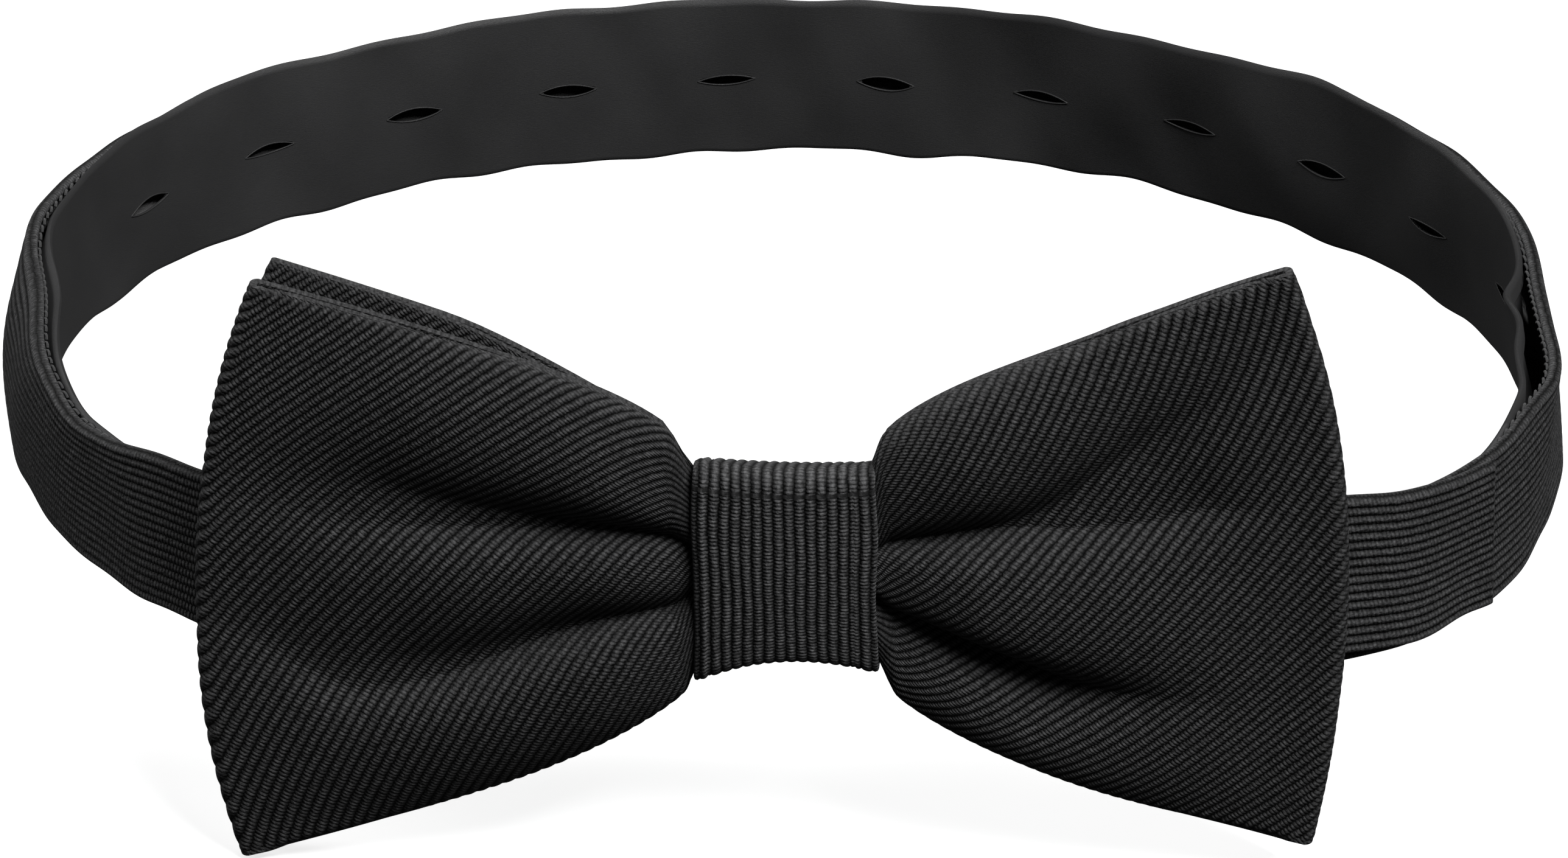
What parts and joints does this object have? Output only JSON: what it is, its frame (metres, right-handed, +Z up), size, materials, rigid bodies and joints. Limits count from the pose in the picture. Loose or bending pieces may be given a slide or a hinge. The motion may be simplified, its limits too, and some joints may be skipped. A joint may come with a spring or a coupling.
{
  "type": "bow tie",
  "caption": "Ready-made bow tie: stacked double bow of diagonal-ribbed cloth with a wrapped knot, on an adjustable neckband with slots and a metal hook.",
  "frame": {"origin": "middle of the neck opening, level with the band's middle height, on the knot's mid-plane", "axes": "+X along the bow's width (the wearer's left), +Y from the bow to the nape, +Z up"},
  "size_m": [0.1674, 0.1277, 0.0743],
  "materials": {
    "ribbed_cloth": "black corded rib weave",
    "satin_lining": "black plain satin",
    "interlining": "charcoal felted wool blend",
    "thread": "black sewing thread",
    "hook_metal": "satin"
  },
  "bodies": {
    "strap": {"strap_cloth": "ribbed_cloth", "strap_interlining": "interlining", "strap_lining": "satin_lining", "strap_edge_stitches": "thread", "hook": "hook_metal", "hook_tacks": "thread", "band_left_cloth": "ribbed_cloth", "band_left_interlining": "interlining", "band_left_lining": "satin_lining", "band_left_edge_stitches": "thread", "lap_stitches": "thread"},
    "neckband": {"neckband_cloth": "ribbed_cloth", "neckband_interlining": "interlining", "neckband_lining": "satin_lining", "neckband_edge_stitches": "thread", "slot_rims": "thread"},
    "tail": {"tail_cloth": "ribbed_cloth", "tail_interlining": "interlining", "tail_lining": "satin_lining", "tail_edge_stitches": "thread"},
    "bow": {"back_bow_cloth": "ribbed_cloth", "back_bow_interlining": "interlining", "front_bow_cloth": "ribbed_cloth", "front_bow_interlining": "interlining", "gathering_thread": "thread", "knot_cloth": "ribbed_cloth", "knot_interlining": "interlining", "knot_stitches": "thread"}
  },
  "joints": [
    {"name": "bow_slide", "type": "slide", "parent": "strap", "child": "bow", "axis": [1, 0, 0], "range_m": [-0.008, 0.008]},
    {"name": "neckband_opening", "type": "hinge", "parent": "strap", "child": "neckband", "pos_m": [-0.06926, -0.04633, 0], "axis": [0, 0, 1], "range_deg": [0, 40]},
    {"name": "tail_fold", "type": "hinge", "parent": "neckband", "child": "tail", "pos_m": [0.036, -0.05385, 0], "axis": [0, 0, -1], "range_deg": [0, 35]}
  ]
}
